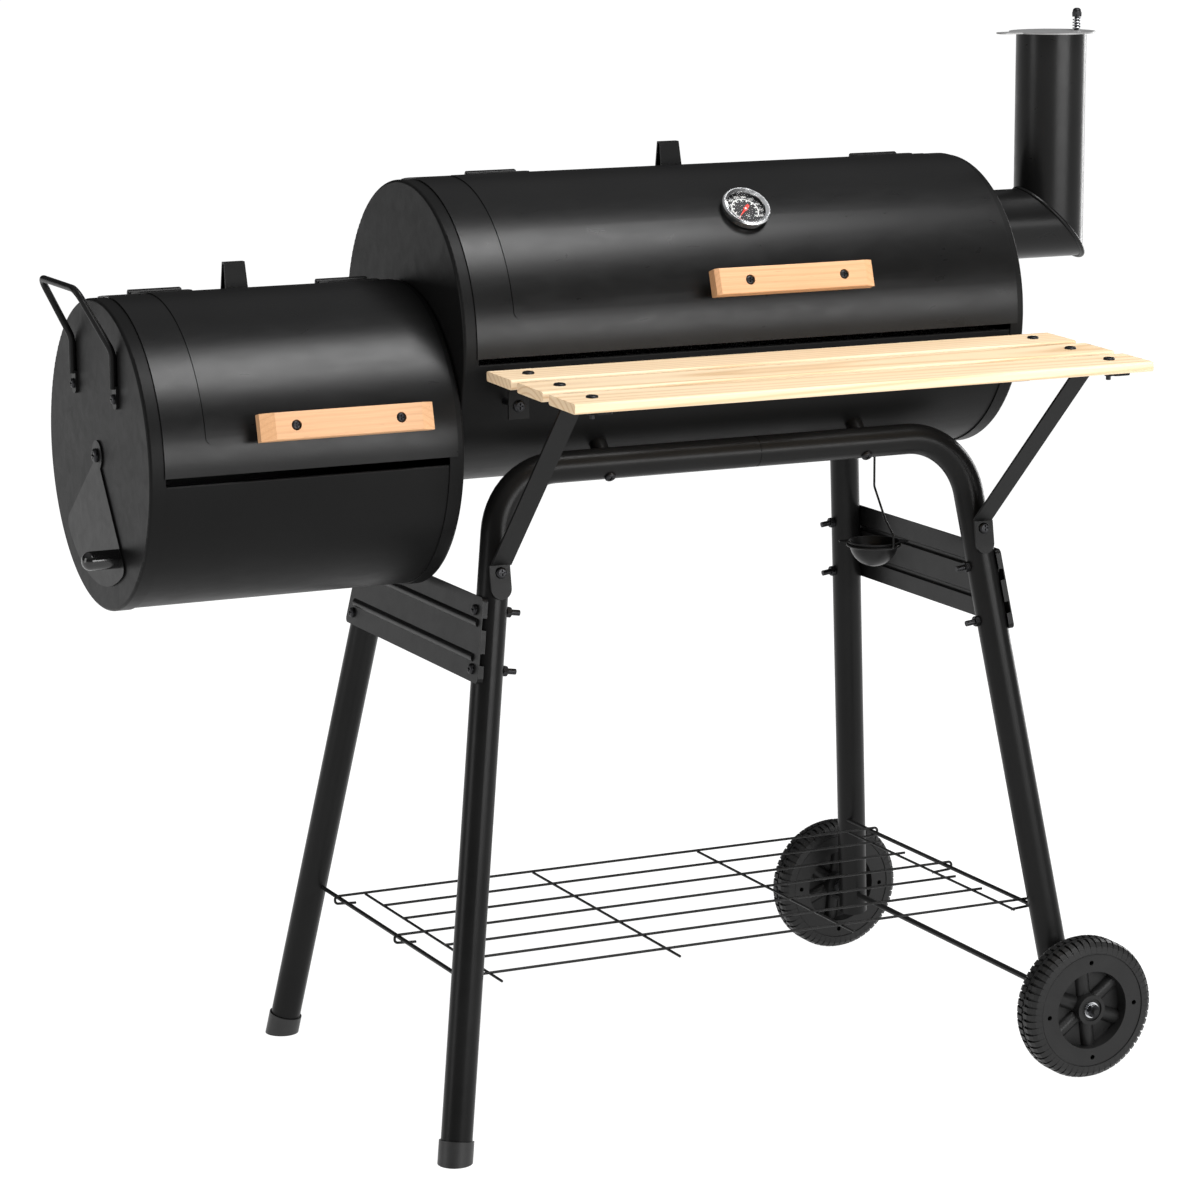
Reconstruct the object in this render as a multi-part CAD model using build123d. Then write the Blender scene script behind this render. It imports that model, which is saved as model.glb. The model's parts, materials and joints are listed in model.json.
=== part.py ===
from build123d import *
import math
import os

# Barrel charcoal grill with an offset firebox, a short mitred chimney and a bent-tube frame on two wheels.
#
# Layout frame used below: X runs along the barrels, from the firebox (-X) to the chimney (+X). The lids open
# at the front, -Y, and Z is up. X = 0 is the outer face of the main barrel's left cap; Y = 0 and Z = 0 are on
# the main barrel's axis. At the end all pieces are moved so that the origin is the middle of the footprint.
#
# Angles about a barrel are in degrees: 0 is the front, 90 the top, 180 the back, 270 the bottom.

# ---- barrels ----
AXIS_HEIGHT = 800.0      # main barrel axis above the floor
MAIN_LENGTH = 640.0
FIREBOX_LENGTH = 327.0
FIREBOX_Z = -102.0       # firebox axis against the main axis
SHEET = 1.2
BODY_R = 153.4           # outside of the body sheets
CAP_R = 154.8            # outside of the end caps
CAP_BORE_R = 153.5
FLANGE = 16.0            # length of a cap's turned rim
CAP_CORNER = 3.0
BODY_GAP = 3.2           # body sheet ends this far inside the cap's outer face
HEM_R = 1.8              # rolled front rim of a body
BODY_REAR = 107.5
MAIN_RIM = -6.5
FIREBOX_RIM = -4.6

# ---- lids ----
LID_R = 156.4
LID_REAR = 102.5
PANEL_RISE = 1.0         # pressed panel stands this far out of the lid
PANEL_SLOPE = 0.8
PANEL_CORNER = 6.0
PANEL_REAR = 90.5
MAIN_LID = {"x0": 14.0, "x1": 631.0, "front": -3.5}
MAIN_PANEL = {"x0": 55.0, "x1": 605.0, "front": 10.3}
FIREBOX_LID = {"x0": -312.0, "x1": -8.0, "front": -0.8}
FIREBOX_PANEL = {"x0": -269.0, "x1": -38.0, "front": 10.2}
PANEL_R = LID_R + PANEL_RISE

# ---- lid handles ----
HANDLE_LENGTH = 180.0
HANDLE_HEIGHT = 27.0
HANDLE_THICK = 16.0
HANDLE_BACK_R = 170.8
HANDLE_FRONT_R = HANDLE_BACK_R + HANDLE_THICK
HANDLE_EDGE = 1.2
COUNTERBORE_R = 5.2
COUNTERBORE_DEPTH = 3.6
SLEEVE_R = 6.0
M5_R = 2.5
M5_HOLE_R = 2.7
MAIN_HANDLE = {"x": 357.0, "angle": 17.5, "screws": (304.5, 412.0), "bevel": (4.0, 4.0, 10.0, 4.0)}
FIREBOX_HANDLE = {"x": -132.0, "angle": 14.0, "screws": (-186.7, -78.0), "bevel": (14.0, 6.0, 14.0, 6.0)}

# ---- hinges and lid rests ----
HINGE_ANGLE = 105.0
HINGE_R = 158.4
HINGE_WIDTH = 54.0
KNUCKLE_R = 4.0
HINGE_PIN_R = 2.0
HINGE_BORE_R = 2.05
LEAF = 1.5
MAIN_HINGES = (116.0, 566.0)
FIREBOX_HINGES = (-251.0, -51.0)
LID_REST_X = {"main": 329.0, "firebox": -160.0}

# ---- thermometer ----
GAUGE_X = 335.0
GAUGE_ANGLE = 48.0
GAUGE_R = 26.0
GAUGE_WINDOW_R = 20.6
NEEDLE_TURN = 225.0      # resting direction of the pointer on the dial

# ---- chimney ----
FLUE_R = 38.0
FLUE_WALL = 1.2
FLUE_Z = 76.0
FLUE_X = 763.0
FLUE_TOP = 281.0
FLUE_START_X = MAIN_LENGTH - 3.0
BEAD_R = 2.4             # weld bead round the elbow
RAIN_CAP_R = 46.5
RAIN_CAP_THICK = 1.6
RAIN_CAP_X = 764.0
RAIN_PIVOT_X = 795.0
MOVING_GAP = 0.3

# ---- frame tubes ----
TUBE_R = 16.0
TUBE_BORE_R = 14.5
TUBE_DROP = 128.5        # horizontal runs below the main axis
TUBE_JOINT_X = 337.0
TUBE_JOINT_STEP = 0.5    # rolled edge where two tubes meet
BEND_R = 70.0
LEFT, RIGHT = -1, 1
FRONT, REAR = -1, 1
LEG_X0 = {LEFT: 71.4, RIGHT: 563.0}
LEG_X_SLOPE = {LEFT: -0.16, RIGHT: 0.125}
LEG_Y0 = 103.0
LEG_Y_SLOPE = 0.1726
LEG_END = {LEFT: 792.0, RIGHT: 746.0}
TUBE_Y = LEG_Y0 + LEG_Y_SLOPE * TUBE_DROP
BARREL_BOLTS_X = (167.0, 463.0)
M6_R = 3.0
M6_HOLE_R = 3.15
FOOT_CAP_R = 17.8
FOOT_CAP_HEIGHT = 22.0

# ---- end panels ----
END_PANEL_TOP = 250.0        # depth below the main axis
END_PANEL_BOTTOM = 334.0
END_PANEL_SHEET = 1.2
END_PANEL_BOLTS = (264.0, 321.5)
END_PANEL_BEADS = (26.0, 61.0)   # ridges, down from the top edge
END_PANEL_OVERHANG = 15.5    # past the middle of each leg
END_PANEL_LIP = 5.0

# ---- shelf ----
SHELF_TILT = 0.03        # radians, front edge lower
SHELF_X = (17.0, 657.0)
SHELF_REAR_Y = -171.0
SHELF_REAR_Z = -19.0
PLANK_WIDTH = 59.0
PLANK_THICK = 10.0
PLANK_GAP = 14.0
PLANK_EDGE = 2.5
SHELF_SCREWS_X = (48.4, 623.0)
BRACKET_WIDTH = 22.0
BRACKET_THICK = 2.5
BRACKET_DEPTH = 219.0
TAB_SCREW_DEPTH = 227.0
STRUT_TOP_Y = -134.0     # on the shelf, from its rear edge
BRACKET_FRONT_Y = -202.0

# ---- bottom rack ----
RACK_DEPTH = 629.0
RACK_ROD_R = 2.25
RACK_WIRE_R = 1.4
RACK_ROD_INSET = {LEFT: 7.0, RIGHT: -10.0}
RACK_WIRE_Y = -22.9
RACK_WIRE_PITCH = 55.8
RACK_CROSS_X = (7.7, 206.5, 409.4, 602.8)
RACK_CROSS_Y = (-215.0, 147.0)
HOOK_R = 4.1

# ---- axle and wheels ----
WHEEL_R = 75.5
AXLE_DEPTH = AXIS_HEIGHT - WHEEL_R
AXLE_R = 3.2
AXLE_BORE_R = 3.26
WHEEL_WIDTH = 36.0
WHEEL_Y = 275.0          # middle of a wheel
TREAD_BLOCKS = 60

# ---- grease cup ----
CUP_X = 549.0
CUP_RIM_Z = -260.0
CUP_DEPTH = 28.0
CUP_MOUTH_R = 28.5
CUP_BALL_R = 26.38
CUP_SHOULDER_ANGLE = 14.0   # below the middle of the ball
CUP_WIRE_R = 1.25
DRAIN_R = 7.0
CUP_PIVOT_Z = -150.6

# ---- firebox vent ----
DAMPER_R = 130.0
DAMPER_THICK = 1.6
DAMPER_EDGES = (-37.0, 52.0)   # from straight down; positive towards the back
VENT_R = 95.0
VENT_HOLE_R = 13.0
VENT_ANGLES = (-19.0, 7.0, 33.0)
GRIP_PLACE = (-58.0, -94.0)    # y and z from the pivot

# ---- firebox side handle ----
SIDE_HANDLE = {"foot_y": 63.0, "screw_z": -38.0, "wire_r": 3.5, "bend_z": 8.0}

# ---- inside ----
WINDOW = {"length": 130.0, "height": 60.0, "z": -62.0}
JOIN_BOLTS = [(y, z) for y in (-90.0, 90.0) for z in (-15.0, -95.0)]
COOKING_Z = -20.0
CHARCOAL_Z = -95.0
FIREBOX_GRATE_Z = FIREBOX_Z - 60.0

BASE = (Align.CENTER, Align.CENTER, Align.MIN)
CORNER = (Align.MIN, Align.MIN, Align.MIN)


# ================================ helpers ================================

def rod(radius, z0, z1):
    return Pos(0, 0, z0) * Cylinder(radius, z1 - z0, align=BASE)


def ring(r_out, r_in, z0, z1):
    return rod(r_out, z0, z1) - rod(r_in, z0, z1)


def block(x0, x1, y0, y1, z0, z1):
    return Pos(x0, y0, z0) * Box(x1 - x0, y1 - y0, z1 - z0, align=CORNER)


def group(pieces):
    """Several separate solids that share one node."""
    solids = []
    for piece in pieces:
        solids += piece.solids()
    return Compound(children=solids)


def sector(r_in, r_out, a0, a1, x0, x1, axis_z=0.0):
    """Curved sheet about a barrel's axis, between two angles and two stations along X."""
    outer = CenterArc((0, 0), r_out, a0, a1 - a0)
    inner = CenterArc((0, 0), r_in, a0, a1 - a0)
    face = make_face([outer, Line(outer @ 1, inner @ 1), inner, Line(inner @ 0, outer @ 0)])
    section = Plane(origin=(x1, 0, axis_z), x_dir=(0, -1, 0), z_dir=(-1, 0, 0))
    return extrude(section * face, x1 - x0)


def on_barrel(angle, x=0.0, axis_z=0.0):
    """Frame on a barrel's axis: x along the barrel, y up round the curve, z outward along the radius."""
    a = math.radians(angle)
    return Plane(origin=(x, 0, axis_z), x_dir=(1, 0, 0), z_dir=(0, -math.cos(a), math.sin(a)))


def facing_left(x, y=0.0, z=0.0):
    """Frame on a cap: local z points to -X, local x to the front, local y up."""
    return Plane(origin=(x, y, z), x_dir=(0, -1, 0), z_dir=(-1, 0, 0))


def along_x(x, y, z):
    return Plane(origin=(x, y, z), x_dir=(0, 1, 0), z_dir=(1, 0, 0))


def nut(across, bore_r, z0, z1):
    """Hex nut with chamfered corners."""
    blank = rod(across / math.sqrt(3), z0, z1)
    blank = chamfer(blank.edges().filter_by(GeomType.CIRCLE), 0.07 * across)
    prism = Pos(0, 0, z0) * extrude(RegularPolygon(across / 2, 6, major_radius=False), z1 - z0)
    return (prism & blank) - rod(bore_r, z0, z1)


def pan_head(radius, height, z0):
    """Domed screw head with a cross recess, seated at z0."""
    head = rod(radius, z0, z0 + height)
    head = fillet(head.edges().sort_by(Axis.Z)[-1], height * 0.75)
    for turn in (0, 90):
        head -= Pos(0, 0, z0 + height) * Rot(0, 0, turn) * Box(radius * 1.1, radius * 0.25, height)
    return head


def screw(shank_r, tip, seat, head_r, head_h):
    return rod(shank_r, tip, seat) + pan_head(head_r, head_h, seat)


def bent_wire(points, radii, wire_r):
    """Round wire or tube along straight runs joined by arcs."""
    path = FilletPolyline(*points, radius=radii)
    section = Plane(origin=path @ 0, z_dir=path % 0) * Circle(wire_r)
    return sweep(section, path)


# ================================ barrels ================================

def barrel_body(x0, x1, axis_z, rim_angle):
    """Body sheet from the rear hinge line round the bottom to a hemmed front rim."""
    x0 += BODY_GAP
    x1 -= BODY_GAP
    sheet = sector(BODY_R - SHEET, BODY_R, BODY_REAR, 360 + rim_angle, x0, x1, axis_z)
    hem = on_barrel(rim_angle, 0, axis_z) * Pos(0, 0, BODY_R - HEM_R) * Rot(0, 90, 0) * rod(HEM_R, x0, x1)
    return sheet + hem


def cap_section():
    """Half section of a pressed cap, its outer face on the local x axis."""
    section = make_face(Polyline(
        (0, 0), (CAP_R, 0), (CAP_R, FLANGE),
        (CAP_BORE_R, FLANGE), (CAP_BORE_R, SHEET), (0, SHEET), close=True))
    section = fillet(section.vertices().sort_by_distance((CAP_R, 0, 0))[0], CAP_CORNER)
    return fillet(section.vertices().sort_by_distance((CAP_BORE_R, SHEET, 0))[0], CAP_CORNER - SHEET)


def end_cap(left, x, axis_z):
    """Pressed disc with a turned rim; x is its outer face."""
    cap = revolve(Plane.XZ * cap_section(), Axis.Z)
    place = along_x(x, 0, axis_z) if left else facing_left(x, 0, axis_z)
    return place * cap


def window_cut():
    slot = SlotOverall(WINDOW["length"], WINDOW["height"])
    return along_x(-5, 0, WINDOW["z"]) * extrude(slot, 10)


def join_bolt_cuts():
    return [along_x(-5, y, z) * rod(M6_HOLE_R, 0, 10) for y, z in JOIN_BOLTS]


def main_body():
    body = barrel_body(0, MAIN_LENGTH, 0, MAIN_RIM)
    body -= Pos(CUP_X, 0, 0) * rod(DRAIN_R, -160, -145)
    for frame in barrel_bolt_frames(LEFT) + barrel_bolt_frames(RIGHT):
        body -= frame * rod(M6_HOLE_R, 140, 160)
    for x in SHELF_SCREWS_X:
        body -= shelf_bolt_frame(x) * rod(M6_HOLE_R, -60, 0)
    return body


def main_left_cap():
    cap = end_cap(True, 0, 0) - window_cut()
    for cut in join_bolt_cuts():
        cap -= cut
    return cap


def main_right_cap():
    flue = along_x(MAIN_LENGTH - 5, 0, FLUE_Z) * rod(FLUE_R + 0.02, 0, 10)
    return end_cap(False, MAIN_LENGTH, 0) - flue


def firebox_body():
    return barrel_body(-FIREBOX_LENGTH, 0, FIREBOX_Z, FIREBOX_RIM)


def firebox_left_cap():
    cap = end_cap(True, -FIREBOX_LENGTH, FIREBOX_Z)
    face = along_x(-FIREBOX_LENGTH - 5, 0, FIREBOX_Z)
    cap -= face * rod(M6_HOLE_R, 0, 10)
    for angle in VENT_ANGLES:
        cap -= face * Rot(0, 0, angle) * Pos(0, -VENT_R, 0) * rod(VENT_HOLE_R, 0, 10)
    for y in (-SIDE_HANDLE["foot_y"], SIDE_HANDLE["foot_y"]):
        cap -= along_x(-FIREBOX_LENGTH - 5, y, SIDE_HANDLE["screw_z"]) * rod(M5_HOLE_R, 0, 10)
    return cap


def firebox_right_cap():
    cap = end_cap(False, 0, FIREBOX_Z) - window_cut()
    for cut in join_bolt_cuts():
        cap -= cut
    return cap


# ================================ lids ================================

def lid_panel(panel, r_in, r_out, axis_z, inset=0.0):
    """Raised field of a lid with rounded lower corners; the hollow behind it is smaller by an inset."""
    x0 = panel["x0"] + inset
    x1 = panel["x1"] - inset
    pad = sector(r_in, r_out, panel["front"] - 5, PANEL_REAR, x0 - 1, x1 + 1, axis_z)
    low_z = axis_z + r_out * math.sin(math.radians(panel["front"])) + inset
    middle = (x0 + x1) / 2
    outline = Pos(middle, low_z + r_out, 0) * RectangleRounded(x1 - x0, 2 * r_out, PANEL_CORNER)
    stencil = extrude(Plane.XZ.offset(-60) * outline, 260)
    return pad & stencil


def barrel_lid(lid, panel, axis_z, openings):
    """Lid sheet with a pressed panel; openings are drilled through it."""
    x0, x1, front = lid["x0"], lid["x1"], lid["front"]
    sheet = sector(LID_R - SHEET, LID_R, front, LID_REAR, x0, x1, axis_z)
    raised = lid_panel(panel, LID_R - SHEET / 2, PANEL_R, axis_z)
    pressed = lid_panel(panel, LID_R - 2 * SHEET, PANEL_R - SHEET, axis_z, PANEL_SLOPE)
    shell = (sheet + raised) - pressed
    for cut in openings:
        shell -= cut
    return shell


def handle_cuts(handle, axis_z):
    frames = [on_barrel(handle["angle"], x, axis_z) for x in handle["screws"]]
    return [frame * rod(M5_HOLE_R, 150, 160) for frame in frames]


def main_lid():
    gauge_hole = on_barrel(GAUGE_ANGLE, GAUGE_X) * rod(5.2, 150, 160)
    return barrel_lid(MAIN_LID, MAIN_PANEL, 0, handle_cuts(MAIN_HANDLE, 0) + [gauge_hole])


def firebox_lid():
    return barrel_lid(FIREBOX_LID, FIREBOX_PANEL, FIREBOX_Z, handle_cuts(FIREBOX_HANDLE, FIREBOX_Z))


def handle_bar(handle, axis_z):
    """Wooden bar with bevelled ends and counterbored screw holes."""
    left_run, left_cut, right_run, right_cut = handle["bevel"]
    half = HANDLE_LENGTH / 2
    outline = Polyline(
        (-half, HANDLE_BACK_R),
        (half, HANDLE_BACK_R),
        (half, HANDLE_FRONT_R - right_cut),
        (half - right_run, HANDLE_FRONT_R),
        (-half + left_run, HANDLE_FRONT_R),
        (-half, HANDLE_FRONT_R - left_cut),
        close=True,
    )
    bar = extrude(Plane.XZ.offset(-HANDLE_HEIGHT / 2) * make_face(outline), HANDLE_HEIGHT)
    bar = fillet(bar.edges().filter_by(Axis.X), HANDLE_EDGE)
    for x in handle["screws"]:
        offset = x - handle["x"]
        bar -= Pos(offset, 0, 0) * rod(M5_HOLE_R, HANDLE_BACK_R - 1, HANDLE_FRONT_R + 1)
        bar -= Pos(offset, 0, 0) * rod(COUNTERBORE_R, HANDLE_FRONT_R - COUNTERBORE_DEPTH, HANDLE_FRONT_R + 1)
    return on_barrel(handle["angle"], handle["x"], axis_z) * bar


def handle_sleeves(handle, axis_z):
    sleeve = ring(SLEEVE_R, M5_HOLE_R, PANEL_R + 0.05, HANDLE_BACK_R)
    return group([on_barrel(handle["angle"], x, axis_z) * sleeve for x in handle["screws"]])


def handle_screws(handle, axis_z):
    """Screws from the front of the bar to nuts inside the lid."""
    seat = HANDLE_FRONT_R - COUNTERBORE_DEPTH
    nut_face = PANEL_R - SHEET - 0.1
    pieces = []
    for x in handle["screws"]:
        frame = on_barrel(handle["angle"], x, axis_z)
        pieces.append(frame * screw(M5_R, nut_face - 7, seat, COUNTERBORE_R - 0.3, 3.2))
        pieces.append(frame * nut(8, M5_R, nut_face - 4, nut_face))
    return group(pieces)


# ================================ hinges ================================

def hinge_lid_leaf(x, axis_z):
    """Leaf on the lid with the middle knuckle."""
    third = HINGE_WIDTH / 6
    plate = sector(LID_R, LID_R + LEAF, 91.0, 101.5, x - HINGE_WIDTH / 2, x + HINGE_WIDTH / 2, axis_z)
    finger = sector(LID_R, LID_R + LEAF, 100.0, HINGE_ANGLE, x - third + 0.3, x + third - 0.3, axis_z)
    frame = on_barrel(HINGE_ANGLE, x, axis_z) * Pos(0, 0, HINGE_R) * Rot(0, 90, 0)
    knuckle = frame * rod(KNUCKLE_R, -third + 0.3, third - 0.3)
    bore = frame * rod(HINGE_BORE_R, -third, third)
    return (plate + finger + knuckle) - bore


def hinge_body_leaf(x, axis_z):
    """Leaf on the body with the two outer knuckles."""
    third = HINGE_WIDTH / 6
    half = HINGE_WIDTH / 2
    leaf = sector(BODY_R, BODY_R + LEAF, BODY_REAR + 0.3, 118.0, x - half, x + half, axis_z)
    frame = on_barrel(HINGE_ANGLE, x, axis_z) * Pos(0, 0, HINGE_R) * Rot(0, 90, 0)
    for lo, hi in ((-half, -third), (third, half)):
        leaf += sector(BODY_R, HINGE_R, HINGE_ANGLE + 0.6, BODY_REAR + 1.2, x + lo, x + hi, axis_z)
        leaf += frame * rod(KNUCKLE_R, lo, hi)
    return leaf - frame * rod(HINGE_BORE_R, -half, half)


def hinge_places():
    return [(x, 0.0) for x in MAIN_HINGES] + [(x, FIREBOX_Z) for x in FIREBOX_HINGES]


def hinge_pins():
    half = HINGE_WIDTH / 2
    pins = []
    for x, axis_z in hinge_places():
        frame = on_barrel(HINGE_ANGLE, x, axis_z) * Pos(0, 0, HINGE_R) * Rot(0, 90, 0)
        pins.append(frame * (rod(HINGE_PIN_R, -half - 0.5, half + 0.5) + rod(3.2, half + 0.05, half + 1.3)))
    return group(pins)


def lid_rest(x, axis_z):
    """Strap bent into a narrow loop behind the hinge line; the open lid leans on its front leg."""
    sheet = 2.0
    foot_y, top_y, back_y, tail_y = 49.5, 56.0, 62.5, 80.0
    top_z = 177.0
    line = Polyline(
        (foot_y, rest_seat(foot_y)),
        (top_y, top_z - sheet / 2),
        (back_y - 1.0, top_z - sheet / 2),
        (back_y + 2.5, rest_seat(back_y) + 1.5),
        (tail_y, rest_seat(tail_y) + 0.4),
    )
    band = extrude(Plane.YZ.offset(-13) * trace(line, sheet), 26)
    band -= Rot(0, 90, 0) * rod(BODY_R, -20, 20)
    taper = Polyline((-11, 178), (11, 178), (13, 120), (-13, 120), close=True)
    band &= extrude(Plane.XZ.offset(-100) * make_face(taper), 100)
    return Pos(x, 0, axis_z) * band


def rest_seat(y):
    """Height of the body's outside at a distance behind the axis."""
    return math.sqrt(BODY_R ** 2 - y ** 2)


# ================================ thermometer ================================

def gauge_frame():
    return on_barrel(GAUGE_ANGLE, GAUGE_X) * Pos(0, 0, PANEL_R)


def thermometer_case():
    """Flat-backed can with a rolled, sloping bezel and a threaded stem."""
    can = ring(24.0, 22.8, 0.05, 6.6) + rod(24.0, 0.05, 1.7)
    corners = Polyline(
        (24.0, 3.5),
        (GAUGE_R, 4.5),
        (GAUGE_R, 7.6),
        (24.6, 9.2),
        (23.4, 9.2),
        (GAUGE_WINDOW_R, 7.6),
        (GAUGE_WINDOW_R, 6.6),
        (24.0, 6.6),
        close=True,
    )
    bezel = revolve(Plane.XZ * make_face(corners), Axis.Z)
    stem = rod(5.0, -14.0, 0.1) + rod(2.5, -72.0, -14.0)
    return gauge_frame() * (can + bezel + stem - rod(1.1, -20.0, 2.0))


def thermometer_dial():
    return gauge_frame() * ring(22.7, 1.3, 1.75, 2.5)


def thermometer_needle():
    """Tapered pointer with a counterweight tail, on its spindle."""
    outline = Polyline(
        (15.0, 0.0),
        (3.0, 1.1),
        (-4.5, 2.0),
        (-7.5, 1.4),
        (-7.5, -1.4),
        (-4.5, -2.0),
        (3.0, -1.1),
        close=True,
    )
    pointer = Pos(0, 0, 3.1) * extrude(make_face(outline), 0.6)
    needle = pointer + rod(2.2, 3.0, 4.2) + rod(0.8, -10.0, 3.2)
    return gauge_frame() * Rot(0, 0, NEEDLE_TURN) * needle


def thermometer_glass():
    return gauge_frame() * rod(22.7, 5.6, 6.55)


def thermometer_nut():
    return gauge_frame() * nut(15, 5.0, -SHEET - 6.0, -SHEET - 0.4)


# ================================ firebox fittings ================================

def side_handle():
    """Wire bail that stands up from the cap and leans outward; its feet are flattened."""
    wire_r = SIDE_HANDLE["wire_r"]
    x = -FIREBOX_LENGTH - wire_r
    foot_y = SIDE_HANDLE["foot_y"]
    bend_z = SIDE_HANDLE["bend_z"]
    top_x, top_y, top_z = -363.0, 56.0, 70.0
    points = [
        (x, -foot_y, -28), (x, -foot_y, bend_z), (top_x, -top_y, top_z),
        (top_x, top_y, top_z), (x, foot_y, bend_z), (x, foot_y, -28),
    ]
    bail = bent_wire(points, [24, 13, 13, 24], wire_r)
    for y in (-foot_y, foot_y):
        foot = block(-FIREBOX_LENGTH - 3.0, -FIREBOX_LENGTH, y - 6, y + 6, -48, -25)
        foot = fillet(foot.edges().filter_by(Axis.X).group_by(Axis.Z)[0], 5)
        bail += foot - along_x(-FIREBOX_LENGTH - 5, y, SIDE_HANDLE["screw_z"]) * rod(M5_HOLE_R, 0, 10)
    return bail


def side_handle_screws():
    pieces = []
    for y in (-SIDE_HANDLE["foot_y"], SIDE_HANDLE["foot_y"]):
        frame = facing_left(-FIREBOX_LENGTH, y, SIDE_HANDLE["screw_z"])
        pieces.append(frame * screw(M5_R, -10, 3.0, 5.0, 3.0))
        pieces.append(frame * nut(8, M5_R, -SHEET - 4, -SHEET))
    return group(pieces)


def pivot_frame():
    return facing_left(-FIREBOX_LENGTH, 0, FIREBOX_Z)


def fan_point(radius, angle):
    """Point on the fan; angle from straight down, positive towards the back."""
    a = math.radians(angle)
    return (-radius * math.sin(a), -radius * math.cos(a))


def damper_plate():
    """Fan-shaped air plate that swings over the vent holes."""
    lo, hi = DAMPER_EDGES
    rim = ThreePointArc(fan_point(DAMPER_R, lo), fan_point(DAMPER_R, (lo + hi) / 2), fan_point(DAMPER_R, hi))
    fan = make_face([Line((0, 0), rim @ 0), rim, Line(rim @ 1, (0, 0))])
    far = fan.vertices().filter_by(lambda v: Vector(v.X, v.Y).length > DAMPER_R - 1)
    fan = fillet(far, 10)
    plate = extrude(fan + Circle(15), DAMPER_THICK) - rod(M6_R + 0.06, 0, DAMPER_THICK)
    plate -= Pos(grip_x(), GRIP_PLACE[1], 0) * rod(M5_R, 0, DAMPER_THICK)
    return pivot_frame() * Pos(0, 0, MOVING_GAP) * plate


def grip_x():
    return -GRIP_PLACE[0]


def damper_grip():
    """Bullet-shaped heat-proof grip on a stud through the plate."""
    back = MOVING_GAP + DAMPER_THICK
    grip = rod(9.5, back, back + 37.0)
    grip = fillet(grip.edges().sort_by(Axis.Z)[-1], 9.0)
    stud = rod(M5_R, MOVING_GAP, back)
    return pivot_frame() * Pos(grip_x(), GRIP_PLACE[1], 0) * (grip + stud)


def damper_pivot():
    seat = 2 * MOVING_GAP + DAMPER_THICK
    pieces = [screw(M6_R, -10, seat, 7.0, 3.6), nut(10, M6_R, -SHEET - 5, -SHEET)]
    return group([pivot_frame() * piece for piece in pieces])


def joining_bolts():
    """Four bolts that clamp the firebox's right cap to the main barrel's left cap."""
    pieces = []
    for y, z in JOIN_BOLTS:
        frame = facing_left(0, y, z)
        pieces.append(frame * screw(M6_R, -12, SHEET, 6.0, 3.5))
        pieces.append(frame * nut(10, M6_R, -SHEET - 5, -SHEET))
    return group(pieces)


# ================================ chimney ================================

def mitre_plane():
    return Plane(origin=(FLUE_X, 0, FLUE_Z), x_dir=(1, 0, -1), z_dir=(1, 0, 1))


def weld_bead(keep, pipe):
    """Half of the bead round the elbow: the half on one side of the mitre, outside the pipe there."""
    path = mitre_plane() * Ellipse(FLUE_R * math.sqrt(2), FLUE_R).edge()
    bead = sweep(Plane(origin=path @ 0, z_dir=path % 0) * Circle(BEAD_R), path)
    return split(bead, bisect_by=mitre_plane(), keep=keep) - pipe


def chimney_stub():
    """Horizontal length of flue, cut square at the cap and at 45 degrees at the elbow."""
    place = along_x(FLUE_START_X, 0, FLUE_Z)
    pipe = split(place * ring(FLUE_R, FLUE_R - FLUE_WALL, 0, 180), bisect_by=mitre_plane(), keep=Keep.BOTTOM)
    return pipe + weld_bead(Keep.BOTTOM, place * rod(FLUE_R, 0, 300))


def chimney_pipe():
    """Upright length of flue, with a lug for the rain cap's pivot."""
    upright = Pos(FLUE_X, 0, 0) * ring(FLUE_R, FLUE_R - FLUE_WALL, FLUE_Z - 50, FLUE_TOP)
    pipe = split(upright, bisect_by=mitre_plane(), keep=Keep.TOP)
    pipe += weld_bead(Keep.TOP, Pos(FLUE_X, 0, 0) * rod(FLUE_R, -50, FLUE_TOP))
    lug = block(RAIN_PIVOT_X - 9, FLUE_X + FLUE_R, -8, 8, FLUE_TOP - 9, FLUE_TOP - 6)
    lug &= Pos(FLUE_X, 0, 0) * rod(FLUE_R - FLUE_WALL / 2, FLUE_TOP - 20, FLUE_TOP)
    lug -= Pos(RAIN_PIVOT_X, 0, 0) * rod(2.6, FLUE_TOP - 20, FLUE_TOP)
    return pipe + lug


def chimney_cap():
    """Flat rain cap with a finger tab; it swings aside on its pivot bolt."""
    under = FLUE_TOP + MOVING_GAP
    disc = Pos(RAIN_CAP_X, 0) * Circle(RAIN_CAP_R)
    tab = make_face(Polyline((728, -15), (697, -8), (697, 8), (728, 15), close=True))
    tab = fillet(tab.vertices().group_by(Axis.X)[0], 6)
    plate = extrude(Pos(0, 0, under) * (disc + tab), RAIN_CAP_THICK)
    return plate - Pos(RAIN_PIVOT_X, 0, 0) * rod(2.56, under, under + RAIN_CAP_THICK)


def chimney_pivot_bolt():
    """Bolt up through the lug and the rain cap, with a cap nut on top."""
    head = nut(8, 0.5, FLUE_TOP - 13, FLUE_TOP - 9)
    bolt = rod(2.5, FLUE_TOP - 12, 299) + head
    washer = ring(5.0, 2.5, 297.5, 298.5)
    dome = fillet(rod(4.6, 298.5, 307.0).edges().sort_by(Axis.Z)[-1], 3.6)
    skirt = nut(10, 0.5, 298.5, 302.5)
    cap_nut = (dome + skirt) - rod(2.5, 290, 299)
    return group([Pos(RAIN_PIVOT_X, 0, 0) * piece for piece in (bolt, washer, cap_nut)])


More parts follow.
